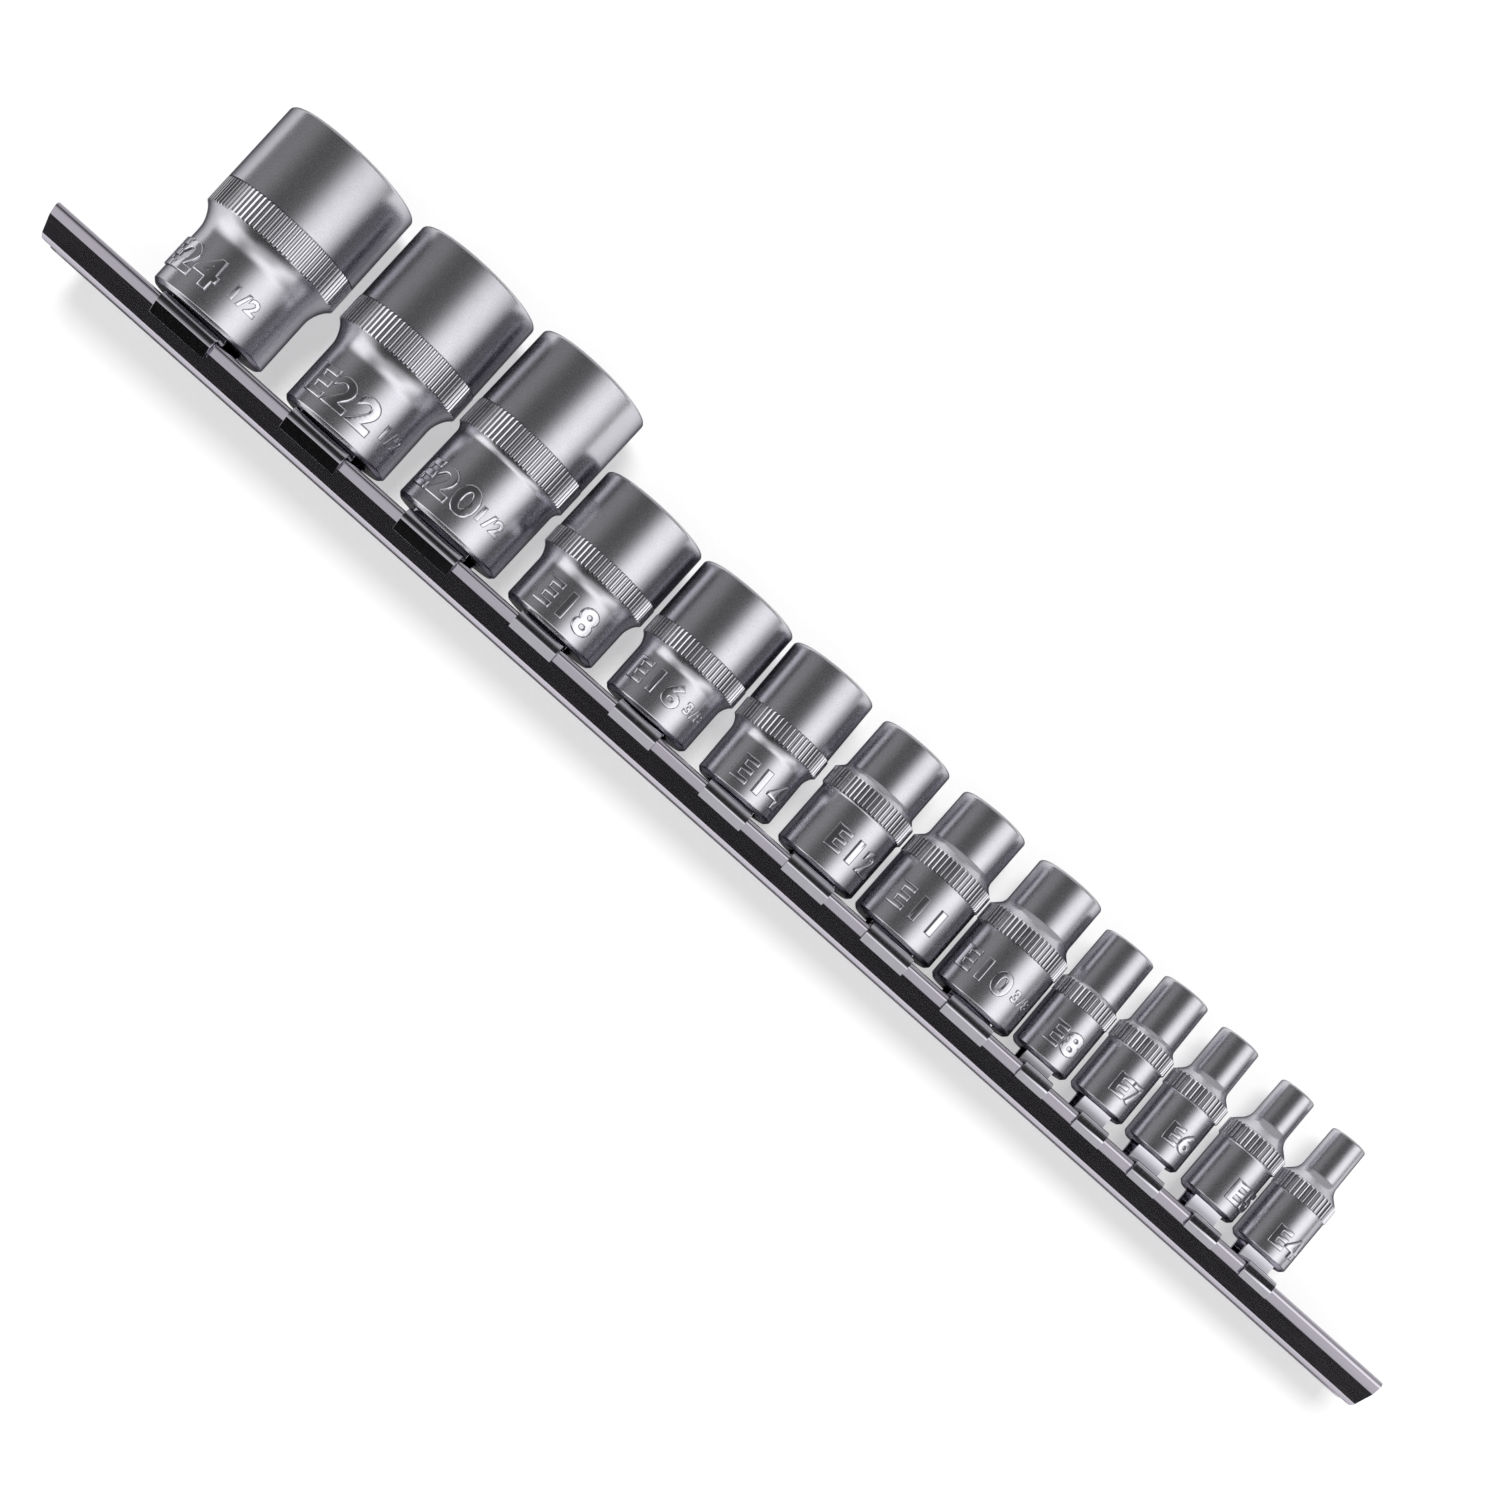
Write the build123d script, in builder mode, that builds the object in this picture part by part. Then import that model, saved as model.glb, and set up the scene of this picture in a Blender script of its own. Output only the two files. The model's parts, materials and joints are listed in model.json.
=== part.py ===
from build123d import *

import os
from math import asin, atan2, cos, degrees, hypot, pi, radians, sin, sqrt, tan

# A row of fourteen external-star sockets on a steel rail, lying on its side.
# The largest socket and the far end of the rail touch the surface below.
# X runs along the rail, from the largest socket to the smallest.
# Y runs along the sockets' axes, from the rail to their mouths, and Z is up.

# Driving dimensions, in millimetres and degrees.

# Sockets, from left to right, with the drive that each one takes.
drives = {
    "e24": "half", "e22": "half", "e20": "half",
    "e18": "middle", "e16": "middle", "e14": "middle",
    "e12": "middle", "e11": "middle", "e10": "middle",
    "e8": "small", "e7": "small", "e6": "small", "e5": "small", "e4": "small",
}

# Width over the points of the star-shaped bolt head that each socket turns.
star_widths = {
    "e24": 22.16, "e22": 20.27, "e20": 18.45, "e18": 16.70, "e16": 14.76,
    "e14": 12.90, "e12": 11.17, "e11": 10.08, "e10": 9.42, "e8": 7.52,
    "e7": 6.16, "e6": 5.74, "e5": 4.73, "e4": 3.86,
}

# Wall round the star at the mouth.
mouth_walls = {
    "e24": 2.42, "e22": 2.42, "e20": 2.32, "e18": 2.45, "e16": 2.60,
    "e14": 2.20, "e12": 1.77, "e11": 1.76, "e10": 1.94, "e8": 1.24,
    "e7": 1.42, "e6": 0.88, "e5": 0.91, "e4": 1.32,
}

# Wall outside the corners of the drive square.
base_walls = {
    "e24": 2.64, "e22": 1.89, "e20": 1.99, "e18": 2.90, "e16": 2.23,
    "e14": 1.13, "e12": 1.63, "e11": 1.70, "e10": 1.75, "e8": 1.27,
    "e7": 1.06, "e6": 0.98, "e5": 1.01, "e4": 0.94,
}

# How far the knurled band stands proud of the thicker of its two neighbours.
knurl_rises = {
    "e24": 0.02, "e22": 0.12, "e20": 0.12, "e18": 0.16, "e16": 0.12,
    "e14": 0.24, "e12": 0.45, "e11": 0.20, "e10": 0.18, "e8": 0.12,
    "e7": 0.32, "e6": 0.32, "e5": 0.38, "e4": 0.15,
}

# Height of the knurled band over the drive end.
knurl_starts = {
    "e24": 16.3, "e22": 16.3, "e20": 16.3, "e18": 11.4, "e16": 11.4,
    "e14": 11.4, "e12": 12.6, "e11": 12.6, "e10": 12.6, "e8": 11.1,
    "e7": 11.1, "e6": 11.1, "e5": 11.1, "e4": 11.1,
}

# Free gap from each socket's knurled band to the next one's.
gaps_to_next = {
    "e24": 2.70, "e22": 0.90, "e20": 1.10, "e18": 0.87, "e16": 0.94,
    "e14": 0.75, "e12": 0.33, "e11": 0.58, "e10": 0.47, "e8": 0.70,
    "e7": 0.70, "e6": 1.10, "e5": 0.75,
}

# How far each socket stands off its clip, and its lean towards the left.
seat_lifts = {
    "e24": 0.00, "e22": 0.00, "e20": 0.40, "e18": 0.10, "e16": 0.00,
    "e14": 0.10, "e12": 0.10, "e11": 0.20, "e10": 0.30, "e8": 0.00,
    "e7": 0.75, "e6": 0.75, "e5": 0.80, "e4": 0.40,
}
seat_leans = {
    "e24": 1.7, "e22": 1.2, "e20": -0.2, "e18": 0.0, "e16": 0.6,
    "e14": 1.8, "e12": 0.2, "e11": -0.2, "e10": 0.2, "e8": 0.5,
    "e7": 0.6, "e6": 0.4, "e5": -0.8, "e4": -0.5,
}

# Each drive's nominal square, and the sizes that go with it.
drive_squares = {"half": 12.70, "middle": 9.53, "small": 6.35}
drive_depths = {"half": 16.0, "middle": 12.0, "small": 9.0}
socket_lengths = {"half": 38.0, "middle": 27.8, "small": 25.3}
star_depths = {"half": 15.0, "middle": 11.0, "small": 10.0}
knurl_heights = {"half": 5.5, "middle": 3.8, "small": 3.3}
knurl_pitches = {"half": 1.00, "middle": 0.95, "small": 0.95}
knurl_depths = {"half": 0.36, "middle": 0.30, "small": 0.26}
mouth_rounds = {"half": 0.8, "middle": 0.7, "small": 0.45}
base_chamfers = {"half": 0.7, "middle": 0.7, "small": 0.8}
barrel_tapers = {"half": 0, "middle": 0, "small": 0.2}
detent_widths = {"half": 3.6, "middle": 2.8, "small": 2.0}
detent_depths = {"half": 0.9, "middle": 0.7, "small": 0.5}

# Fits of the socket's recesses.
square_clearance = 0.20
star_clearance = 0.20
square_corner_share = 0.05
overrun = 1.0

# Shape of the six-lobed star, as shares of its width.
star_waist_share = 0.72
star_lobe_share = 0.09
star_points = 6

# Shape of the socket's outside, as shares of the step that each one spans.
neck_round_share = 2.0
shoulder_round_share = 1.2
rim_round_share = 0.6
base_chamfer_share = 0.75
knurl_crest_share = 0.25
knurl_flank_share = 0.25
lead_in_share = 0.35
lead_in_slope = 30
detent_height_share = 0.42

# Rail: a strip rolled to a shallow channel with a slot along its back.
# Each flank has two creases, so that it turns in towards the foot in three steps.
rail_top_half_width = 8.25
rail_flank_half_width = 7.24
rail_flank_drop = 2.5
rail_haunch_half_width = 4.9
rail_haunch_drop = 5.1
rail_foot_half_width = 3.3
rail_slot_half_width = 1.4
rail_height = 6.2
rail_thickness = 0.7
rail_bend_radius = 0.8
left_bare_end = 15.8
right_bare_end = 21.8

# Clips: one bent strip each, hooked over the rail, with a loop for the square.
clip_thicknesses = {"half": 0.80, "middle": 0.60, "small": 0.50}
clip_side_plays = {"half": 0.45, "middle": 0.30, "small": 0.30}
clip_ear_drops = {"half": 3.7, "middle": 3.0, "small": 2.7}
clip_ear_slants = {"half": 30, "middle": 22, "small": 22}
clip_neck_heights = {"half": 0.10, "middle": 0.10, "small": 1.55}
clip_loop_heights = {"half": 9.8, "middle": 7.0, "small": 4.6}
clip_loop_waists = {"half": 5.2, "middle": 3.9, "small": 2.55}
clip_loop_crowns = {"half": 4.2, "middle": 3.0, "small": 1.9}
clip_rail_play = 0.12
clip_flank_play = 0.20
clip_bend_drop = 1.3
clip_fold_tuck = 0.25
clip_loop_play = 0.25
clip_seat_gap = 0.20
clip_bulge_height_share = 0.45
clip_bend_share = 2.2
clip_fold_share = 0.6

# Travel of each socket past the top of its clip's loop, when it is pulled off.
pull_off_margin = 1.5

names = list(drives)


def rail_outline():
    """The outer outline of the rail's section, closed across its slot."""
    half = [
        (rail_top_half_width, 0),
        (rail_flank_half_width, -rail_flank_drop),
        (rail_haunch_half_width, -rail_haunch_drop),
        (rail_foot_half_width, -rail_height),
    ]
    other_half = [(-across, height) for across, height in reversed(half)]
    with BuildSketch() as outline:
        with BuildLine():
            Polyline(*half, *other_half, close=True)
        make_face()
        fillet(outline.vertices(), rail_bend_radius)
    return outline.sketch


# Half the width over the rounded flanks of the rail.
rail_reach = rail_outline().bounding_box().max.X


def clip_seat(drive):
    """Height of the foot of a clip's loop over the top of the rail."""
    return clip_rail_play + clip_thicknesses[drive] + clip_neck_heights[drive]


def hook_outline(drive):
    """The hollow that a clip's flange and ears close in round the rail."""
    drop = clip_ear_drops[drive]
    side = rail_reach + clip_flank_play
    tip = side - (drop - clip_bend_drop) * tan(radians(clip_ear_slants[drive]))
    half = [(side - clip_fold_tuck, clip_rail_play), (side, -clip_bend_drop), (tip, -drop)]
    other_half = [(-across, height) for across, height in reversed(half)]
    with BuildSketch() as outline:
        with BuildLine():
            Polyline(*half, *other_half, close=True)
        make_face()
        folds = outline.vertices().sort_by(Axis.Y)[-4:]
        fillet(folds, clip_thicknesses[drive] * clip_fold_share)
    return outline.sketch


def clip_reach(drive):
    """Half the width over the folds of a clip's ears."""
    with BuildSketch() as shell:
        offset(hook_outline(drive), amount=clip_thicknesses[drive])
    return shell.sketch.bounding_box().max.X


def square_of(name):
    return drive_squares[drives[name]] + square_clearance


def clip_width(name):
    return square_of(name) - 2 * clip_side_plays[drives[name]]


def square_corner(name):
    return square_corner_share * square_of(name)


def star_of(name):
    return star_widths[name] + star_clearance


def base_radius(name):
    """Half the width over the square's rounded corners, and the wall."""
    side = square_of(name)
    round_off = (sqrt(2) - 1) * square_corner(name)
    return side / sqrt(2) - round_off + base_walls[name]


def mouth_radius(name):
    return star_of(name) / 2 + mouth_walls[name]


def knurl_radius(name):
    return max(base_radius(name), mouth_radius(name)) + knurl_rises[name]


def knurl_root(name):
    return knurl_radius(name) - knurl_depths[drives[name]]


def band_inside(name):
    """Inner radius of the ring that carries the knurled ridges."""
    return knurl_root(name) - knurl_depths[drives[name]]


def seat_height(name):
    """Height of a socket's drive end over the top of the rail."""
    drive = drives[name]
    return clip_seat(drive) + clip_seat_gap + seat_lifts[name]


# Places along the rail: each socket stands its gap away from the last one.
row_places = {names[0]: left_bare_end + knurl_radius(names[0])}
for before, after in zip(names, names[1:]):
    step = knurl_radius(before) + gaps_to_next[before] + knurl_radius(after)
    row_places[after] = row_places[before] + step
rail_length = row_places[names[-1]] + knurl_radius(names[-1]) + right_bare_end
places = {name: row_places[name] - rail_length / 2 for name in names}


# What can touch the surface at the low end of the row: the rail's end and the last clip.
last = names[-1]
low_feet = [
    (rail_length / 2, rail_reach),
    (places[last] + clip_width(last) / 2, clip_reach(drives[last])),
]


def rest_angle(name):
    """Slope of the rail when this socket and a foot at the low end lie on a flat surface."""
    slopes = []
    for along, down in low_feet:
        run = along - places[name]
        slopes.append(asin(knurl_radius(name) / hypot(run, down)) - atan2(down, run))
    return degrees(min(slopes))


# The steepest of those slopes is the one at which the row comes to rest.
resting_socket = max(names, key=rest_angle)
rest_slope = rest_angle(resting_socket)
axis_height = knurl_radius(resting_socket) + places[resting_socket] * sin(radians(rest_slope))


def mouth_height(name):
    """Highest point of a socket's mouth over the top of the rail."""
    lean = radians(abs(seat_leans[name]))
    drive = drives[name]
    return seat_height(name) + socket_lengths[drive] * cos(lean) + mouth_radius(name) * sin(lean)


# The rail's top lies so that the whole row is centred on the origin along Y.
rail_top = (rail_height - max(mouth_height(name) for name in names)) / 2

# Frame of the row: its X runs down the slope, and its Z stays over the axes.
row = Plane(
    origin=(0, rail_top, axis_height),
    x_dir=(cos(radians(rest_slope)), 0, -sin(radians(rest_slope))),
    z_dir=(sin(radians(rest_slope)), 0, cos(radians(rest_slope))),
)


def section_plane(along):
    """A plane across the rail: its X is up from the rail's axis, its Y runs to the mouths."""
    return Plane(
        origin=row.from_local_coords((along, 0, 0)),
        x_dir=row.z_dir,
        z_dir=-row.x_dir,
    )


def socket_plane(name, height):
    """A plane square to a socket's axis, at a height over its drive end."""
    turned = row.rotated((0, 0, seat_leans[name]))
    foot = row.from_local_coords((places[name], seat_height(name), 0))
    return Plane(
        origin=foot + turned.y_dir * height,
        x_dir=turned.x_dir,
        z_dir=turned.y_dir,
    )


def socket_axis(name):
    """A socket's own axis, from its drive end to its mouth."""
    base = socket_plane(name, 0)
    return Axis(base.origin, base.z_dir)


def socket_section(name, turn=0):
    """A plane that holds a socket's axis: its X is the radius, its Y the height."""
    base = socket_plane(name, 0).rotated((0, 0, turn))
    return Plane(origin=base.origin, x_dir=base.x_dir, z_dir=base.x_dir.cross(base.z_dir))


def star_outline(width):
    """A star with rounded points, from arcs that meet smoothly."""
    step = 360 / star_points
    half_step = radians(step / 2)
    lobe = star_lobe_share * width
    waist = star_waist_share * width / 2
    lobe_centre = width / 2 - lobe
    over = lobe**2 - waist**2 - lobe_centre**2 + 2 * lobe_centre * waist * cos(half_step)
    flank = over / (2 * (waist - lobe_centre * cos(half_step) - lobe))
    flank_centre = waist + flank
    share = lobe / (lobe + flank)
    meet_x = lobe_centre + share * (flank_centre * cos(half_step) - lobe_centre)
    meet_y = share * flank_centre * sin(half_step)
    reach = hypot(meet_x, meet_y)
    swing = degrees(atan2(meet_y, meet_x))
    with BuildSketch() as star:
        with BuildLine():
            for point in range(star_points):
                middle = point * step
                start = Vector(reach, 0).rotate(Axis.Z, middle - swing)
                tip = Vector(width / 2, 0).rotate(Axis.Z, middle)
                end = Vector(reach, 0).rotate(Axis.Z, middle + swing)
                dip = Vector(waist, 0).rotate(Axis.Z, middle + step / 2)
                following = Vector(reach, 0).rotate(Axis.Z, middle + step - swing)
                ThreePointArc(start, tip, end)
                ThreePointArc(end, dip, following)
        make_face()
    return star.sketch


def knurl_outline(name):
    """The knurled band's ring: evenly spaced ridges with flat crests."""
    crest = knurl_radius(name)
    root = knurl_root(name)
    count = round(2 * pi * crest / knurl_pitches[drives[name]])
    step = 360 / count
    rise = knurl_flank_share * step
    flat = knurl_crest_share * step
    corners = []
    for ridge in range(count):
        middle = ridge * step
        corners.append(Vector(root, 0).rotate(Axis.Z, middle - flat / 2 - rise))
        corners.append(Vector(crest, 0).rotate(Axis.Z, middle - flat / 2))
        corners.append(Vector(crest, 0).rotate(Axis.Z, middle + flat / 2))
        corners.append(Vector(root, 0).rotate(Axis.Z, middle + flat / 2 + rise))
    with BuildSketch() as knurl:
        with BuildLine():
            Polyline(*corners, close=True)
        make_face()
        Circle(band_inside(name), mode=Mode.SUBTRACT)
    return knurl.sketch


def corner_at(sketch, across, height):
    """The corner of a sketch that lies nearest to a point of its own plane."""
    return sketch.vertices().sort_by_distance((across, height))[0]


def outside_outline(name):
    """Half of a socket's section: base, neck, groove for the ridges, shoulder and barrel."""
    drive = drives[name]
    length = socket_lengths[drive]
    base = base_radius(name)
    mouth = mouth_radius(name)
    barrel = mouth + barrel_tapers[drive]
    root = knurl_root(name)
    inside = band_inside(name)
    band_low = knurl_starts[name]
    band_high = band_low + knurl_heights[drive]
    neck = max(root - base, 0)
    shoulder = max(root - barrel, 0)
    neck_low = band_low - neck
    shoulder_high = band_high + shoulder
    rim_round = min(mouth_rounds[drive], rim_round_share * mouth_walls[name])
    rim_bevel = min(base_chamfers[drive], base_chamfer_share * base_walls[name])
    with BuildSketch() as outside:
        with BuildLine():
            Polyline(
                (0, 0),
                (base, 0),
                (base, neck_low),
                (root, band_low),
                (inside, band_low),
                (inside, band_high),
                (root, band_high),
                (barrel, shoulder_high),
                (mouth, length),
                (0, length),
                close=True,
            )
        make_face()
        chamfer(corner_at(outside, base, 0), rim_bevel)
        fillet(corner_at(outside, mouth, length), rim_round)
        if neck > 0:
            fillet(corner_at(outside, base, neck_low), neck_round_share * neck)
        if shoulder > 0:
            fillet(corner_at(outside, barrel, shoulder_high), shoulder_round_share * shoulder)
    return outside.sketch


def make_socket(name):
    """One socket: turned outside, knurled band, star in the mouth, square in the base."""
    drive = drives[name]
    length = socket_lengths[drive]
    square = square_of(name)
    star = star_of(name)
    square_depth = drive_depths[drive]
    star_floor = length - star_depths[drive]
    relief = star_waist_share * star / 2
    slope = tan(radians(lead_in_slope))
    star_opening = star / 2 + lead_in_share * mouth_walls[name]
    square_corner_reach = base_radius(name) - base_walls[name]
    square_opening = square / 2 + lead_in_share * (square_corner_reach - square / 2)
    star_lead = [(0, length), (star_opening, length), (0, length - star_opening * slope)]
    square_lead = [(0, 0), (square_opening, 0), (0, square_opening * slope)]
    relief_bore = [(0, square_depth), (relief, square_depth), (relief, star_floor), (0, star_floor)]

    with BuildPart() as socket:
        with BuildSketch(socket_section(name)):
            add(outside_outline(name))
            for corners in (star_lead, square_lead, relief_bore):
                with BuildLine():
                    Polyline(*corners, close=True)
                make_face(mode=Mode.SUBTRACT)
        revolve(axis=socket_axis(name))
        with BuildSketch(socket_plane(name, star_floor)):
            add(star_outline(star))
        extrude(amount=star_depths[drive] + overrun, mode=Mode.SUBTRACT)
        with BuildSketch(socket_plane(name, 0)):
            RectangleRounded(square, square, square_corner(name))
        extrude(amount=square_depth, mode=Mode.SUBTRACT)
        for turn in (0, 90):
            with BuildSketch(socket_section(name, turn)):
                with Locations((0, detent_height_share * square_depth)):
                    Circle(detent_widths[drive] / 2)
            extrude(amount=square / 2 + detent_depths[drive], both=True, mode=Mode.SUBTRACT)
        with BuildSketch(socket_plane(name, knurl_starts[name])):
            add(knurl_outline(name))
        extrude(amount=knurl_heights[drive])
    return socket.part


def loop_outline(drive):
    """The outer outline of a clip's loop, from the top of the rail up."""
    seat = clip_seat(drive)
    height = clip_loop_heights[drive]
    waist = clip_loop_waists[drive]
    bulge = (drive_squares[drive] + square_clearance) / 2 - clip_loop_play
    half = [
        (waist, clip_rail_play),
        (waist, seat),
        (bulge, seat + clip_bulge_height_share * height),
        (clip_loop_crowns[drive], seat + height),
    ]
    other_half = [(-across, up) for across, up in reversed(half)]
    with BuildSketch() as outline:
        with BuildLine():
            Polyline(*half, *other_half, close=True)
        make_face()
        bends = outline.vertices().sort_by(Axis.Y)[-4:]
        fillet(bends, clip_thicknesses[drive] * clip_bend_share)
    return outline.sketch


def make_clip(name):
    """One clip: ears hooked over the rail's flanks, a flange, and a loop for the square."""
    drive = drives[name]
    thickness = clip_thicknesses[drive]
    hook = hook_outline(drive)
    loop = loop_outline(drive)
    opening = 2 * (clip_loop_waists[drive] - thickness)
    reach = 2 * (rail_reach + clip_flank_play + thickness)
    with BuildPart() as clip:
        with BuildSketch(section_plane(places[name])):
            offset(hook, amount=thickness)
            add(loop)
            offset(loop, amount=-thickness, mode=Mode.SUBTRACT)
            add(hook, mode=Mode.SUBTRACT)
            with Locations((0, clip_rail_play)):
                Rectangle(opening, 2 * thickness + overrun, mode=Mode.SUBTRACT)
            with Locations((0, -clip_ear_drops[drive] - thickness)):
                Rectangle(reach, 2 * thickness, mode=Mode.SUBTRACT)
        extrude(amount=clip_width(name) / 2, both=True)
    return clip.part


def make_rail():
    """The rail: a hollow section with a slot along its back."""
    outline = rail_outline()
    with BuildPart() as rail:
        with BuildSketch(section_plane(0)):
            add(outline)
            offset(outline, amount=-rail_thickness, mode=Mode.SUBTRACT)
            with Locations((0, -rail_height)):
                Rectangle(2 * rail_slot_half_width, 2 * (rail_thickness + overrun), mode=Mode.SUBTRACT)
        extrude(amount=rail_length / 2, both=True)
    return rail.part


def write(part, label):
    part.label = label
    export_step(part, f"parts/{label}.step")


if __name__ == "__main__":
    os.makedirs("parts", exist_ok=True)
    write(make_rail(), "rail")
    for name in names:
        write(make_clip(name), f"clip_{name}")
        write(make_socket(name), f"socket_{name}")
    for name in names:
        print(name, round(places[name], 2), round(2 * mouth_radius(name), 2),
              round(2 * knurl_radius(name), 2), round(2 * base_radius(name), 2),
              round(seat_height(name), 2))
    print(rail_length, rest_slope, axis_height, rail_top, resting_socket)
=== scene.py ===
# %% [markdown]
# # Fourteen external-star sockets on a clip rail
#
# A mechanic keeps these sockets in order of size on one steel rail. Each
# socket is forged and turned from a bar, satin-chromed, and has a star-shaped
# mouth for the bolt, a knurled band for the fingers and a square for the
# ratchet. Spring clips hooked on the rail hold them by that square.
#
# The measured solids come in as a fixed frame. Every piece below is built in
# millimetres on its own axes and then put where the frame says, so nothing
# has to be fitted by eye.

# %% Load the measured frame
import bmesh
import bpy
import json
from math import atan2, cos, degrees, hypot, pi, radians, sin, sqrt, tan
from mathutils import Matrix, Vector


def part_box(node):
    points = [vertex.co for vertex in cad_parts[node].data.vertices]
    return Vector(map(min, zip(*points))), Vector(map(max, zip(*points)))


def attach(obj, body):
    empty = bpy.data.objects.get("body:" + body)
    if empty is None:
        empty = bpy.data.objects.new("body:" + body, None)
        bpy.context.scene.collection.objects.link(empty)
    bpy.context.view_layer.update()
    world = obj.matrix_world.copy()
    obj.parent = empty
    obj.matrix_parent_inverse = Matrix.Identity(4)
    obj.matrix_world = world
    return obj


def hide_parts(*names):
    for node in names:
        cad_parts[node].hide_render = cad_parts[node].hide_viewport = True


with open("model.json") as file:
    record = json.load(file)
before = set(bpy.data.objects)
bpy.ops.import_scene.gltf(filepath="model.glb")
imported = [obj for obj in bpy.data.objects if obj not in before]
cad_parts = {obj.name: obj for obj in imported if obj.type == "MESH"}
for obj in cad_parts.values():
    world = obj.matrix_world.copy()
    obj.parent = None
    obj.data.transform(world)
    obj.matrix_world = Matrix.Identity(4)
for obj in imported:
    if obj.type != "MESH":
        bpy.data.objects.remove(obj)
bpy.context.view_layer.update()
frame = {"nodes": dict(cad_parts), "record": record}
MM = 0.001
mounts = {mount["name"]: mount for mount in frame["record"]["mounts"]}
sizes = [name[len("drive_"):] for name in mounts if name.startswith("drive_")]
print(len(sizes), "sockets:", ", ".join(sizes))

# %% [markdown]
# ## Where the row lies
#
# The row lies on its side. Its largest socket and its last clip touch the
# surface, so the rail slopes a little. The slope could be typed in as an
# angle, but two drive squares, one at each end of the row, already give it,
# and then it can't disagree with the frame. The row's own axes are: X along
# the rail, Y towards the sockets' mouths, and Z away from the surface.

# %% Find the slope and the axes of the row
first_foot = Vector(mounts["drive_" + sizes[0]]["pos_m"])
last_foot = Vector(mounts["drive_" + sizes[-1]]["pos_m"])
slope = atan2(first_foot.z - last_foot.z, last_foot.x - first_foot.x)
along_row = Vector((cos(slope), 0, -sin(slope)))
towards_mouths = Vector((0, 1, 0))
off_surface = Vector((sin(slope), 0, cos(slope)))
rail_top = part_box("rail")[1].y
print("slope of the rail:", round(degrees(slope), 3), "degrees")


def placed(origin, right, up):
    """The matrix that takes millimetres on a piece's own axes to the frame."""
    across = right.cross(up)
    turn = Matrix((right, up, across)).transposed().to_4x4()
    return Matrix.Translation(origin) @ turn @ Matrix.Scale(MM, 4)


def socket_place(name):
    """Own axes of a socket: X to its right, Z from its drive end to its mouth."""
    foot = Vector(mounts["drive_" + name]["pos_m"])
    axis = -Vector(mounts["drive_" + name]["axis"])
    right = axis.cross(off_surface).normalized()
    return placed(foot, right, axis.cross(right))


# %% [markdown]
# ## Finishes
#
# All the steel here is chromed, but not all alike. The sockets were tumbled
# before plating, which leaves a satin skin with a fine mottle. The ridges of
# the knurl and the raised marks are rubbed smoother and brighter by use. The
# rail and the clips are plated strip, which was smooth from the start but for
# faint lines from the rolling mill.
#
# Three helpers come first: one for colours, one that adds any kind of node,
# and one that opens a new material. Every material below is made with them.
# A Mix node has a set of sockets for each kind of data, all under the same
# names, so its sockets for colours are called by number.

# %% Three helpers for all the materials
MIX_FACTOR, MIX_FIRST, MIX_SECOND, MIX_RESULT = 0, 6, 7, 2


def tint(code):
    """A colour written as sRGB hex, as the linear values that the shader takes."""
    parts = [int(code[at:at + 2], 16) / 255 for at in (1, 3, 5)]
    linear = [p / 12.92 if p <= 0.04045 else ((p + 0.055) / 1.055) ** 2.4 for p in parts]
    return (*linear, 1.0)


def add_node(tree, kind, settings, inputs):
    """Adds a node, gives it its settings, and sets or links its inputs.

    An input is called by its name, or by its number where several share a name.
    """
    node = tree.nodes.new(kind)
    for name, value in settings.items():
        setattr(node, name, value)
    for name, value in inputs.items():
        if isinstance(value, bpy.types.NodeSocket):
            tree.links.new(value, node.inputs[name])
        else:
            node.inputs[name].default_value = value
    return node


def empty_material(name):
    """A new material and its node tree, with nothing in it yet."""
    material = bpy.data.materials.new(name)
    material.use_nodes = True
    material.node_tree.nodes.clear()
    return material, material.node_tree


# %% [markdown]
# ### Chrome
#
# Chrome is a metal, so its look comes from its reflections. The base colour is
# only the tint of the reflection, and the roughness says how far it is
# blurred. A picture of scratched steel could be wrapped round each piece, but
# noise has no seams and is as fine as it has to be. Fine noise wanders the
# roughness and makes very shallow dents, and noise six times as coarse clouds
# the tint.
#
# The edge tint colours only what is mirrored at a grazing angle. It is set
# dark here as painted shade: it darkens the outlines of every piece, the
# sockets' most, so that they stand dark against the white ground as the real
# ones do. Noise stays mostly between 0.3 and 0.7, so that stretch of it is
# spread over the whole range of roughness.

# %% One recipe for every chrome
noise_low = 0.3
noise_high = 0.7
clouds_per_mottle = 6


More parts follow.
